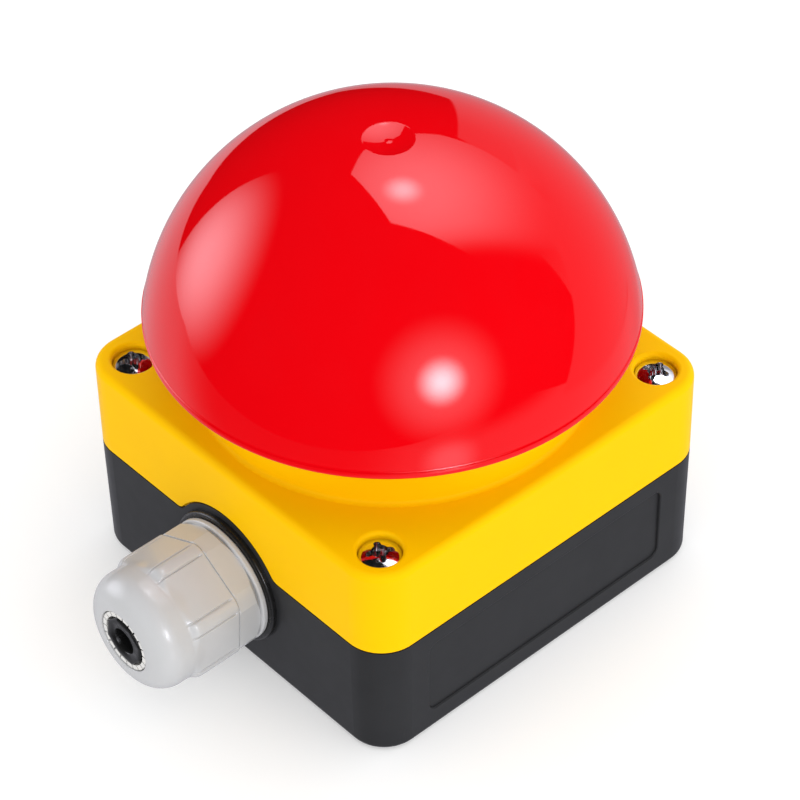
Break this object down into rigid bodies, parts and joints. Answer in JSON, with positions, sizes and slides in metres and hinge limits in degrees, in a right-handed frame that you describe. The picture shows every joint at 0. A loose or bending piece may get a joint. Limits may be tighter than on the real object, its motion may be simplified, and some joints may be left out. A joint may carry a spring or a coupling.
{
  "type": "emergency stop push button",
  "caption": "Palm operated emergency stop button: a large red dome on a square yellow and grey surface mounting box with a cable gland.",
  "frame": {"origin": "centre of the flat underside of the base, on the button's axis", "axes": "+Z along the button's axis, away from the mounting surface; -Y out along the cable gland; +X towards the label panel"},
  "size_m": [0.0932, 0.1147, 0.1],
  "materials": {
    "dark_shell": "dark grey fine textured housing",
    "yellow_shell": "yellow semi gloss moulding",
    "red_cap": "glossy red moulding",
    "gland_grey": "light grey satin polyamide",
    "clamp_pale": "pale satin polyamide",
    "black_rubber": "matt black rubber",
    "screw_steel": "bright plated steel",
    "spring_steel": "drawn wire",
    "inner_black": "black glass filled moulding",
    "inner_white": "white moulding",
    "block_green": "green contact block moulding",
    "block_red": "red contact block moulding",
    "contact_brass": "stamped brass"
  },
  "bodies": {
    "base": {"base_shell": "dark_shell", "lid": "yellow_shell", "lid_gasket": "black_rubber", "lid_screws": "screw_steel", "bush": "inner_black", "bush_washer": "black_rubber", "bush_nut": "inner_black", "bellows": "black_rubber", "return_spring": "spring_steel", "latch_clip": "spring_steel", "contact_holder": "inner_black", "holder_screw": "screw_steel", "gland_body": "gland_grey", "gland_washer": "black_rubber", "gland_locknut": "gland_grey", "nc_housing": "inner_black", "nc_cover": "block_red", "nc_spring": "spring_steel", "nc_terminals": "contact_brass", "nc_terminal_screws": "screw_steel", "no_housing": "inner_black", "no_cover": "block_green", "no_spring": "spring_steel", "no_terminals": "contact_brass", "no_terminal_screws": "screw_steel"},
    "button": {"cap": "red_cap", "stem": "inner_black", "actuator_plate": "inner_white", "stem_screw": "screw_steel"},
    "nc_contact": {"nc_plunger": "inner_white", "nc_bridge": "contact_brass"},
    "no_contact": {"no_plunger": "inner_white", "no_bridge": "contact_brass"},
    "gland_insert": {"gland_clamp": "clamp_pale", "gland_seal": "black_rubber"},
    "gland_cap": {"gland_nut": "gland_grey"}
  },
  "joints": [
    {"name": "button_press", "type": "slide", "parent": "base", "child": "button", "axis": [0, 0, -1], "range_m": [0, 0.006], "deforming": ["bellows", "return_spring"]},
    {"name": "nc_stroke", "type": "slide", "parent": "base", "child": "nc_contact", "axis": [0, 0, -1], "range_m": [0, 0.006], "deforming": ["nc_spring"]},
    {"name": "no_stroke", "type": "slide", "parent": "base", "child": "no_contact", "axis": [0, 0, -1], "range_m": [0, 0.006], "deforming": ["no_spring"]},
    {"name": "gland_advance", "type": "slide", "parent": "base", "child": "gland_insert", "axis": [0, -1, 0], "range_m": [0, 0.003]},
    {"name": "gland_turn", "type": "hinge", "parent": "gland_insert", "child": "gland_cap", "pos_m": [0, -0.0681, 0.0188], "axis": [0, -1, 0], "range_deg": [0, 720]}
  ],
  "couplings": [
    {"joint": "nc_stroke", "follows": "button_press", "ratio": 1},
    {"joint": "no_stroke", "follows": "button_press", "ratio": 1},
    {"joint": "gland_turn", "follows": "gland_advance", "rad_per_m": 4188.8}
  ]
}
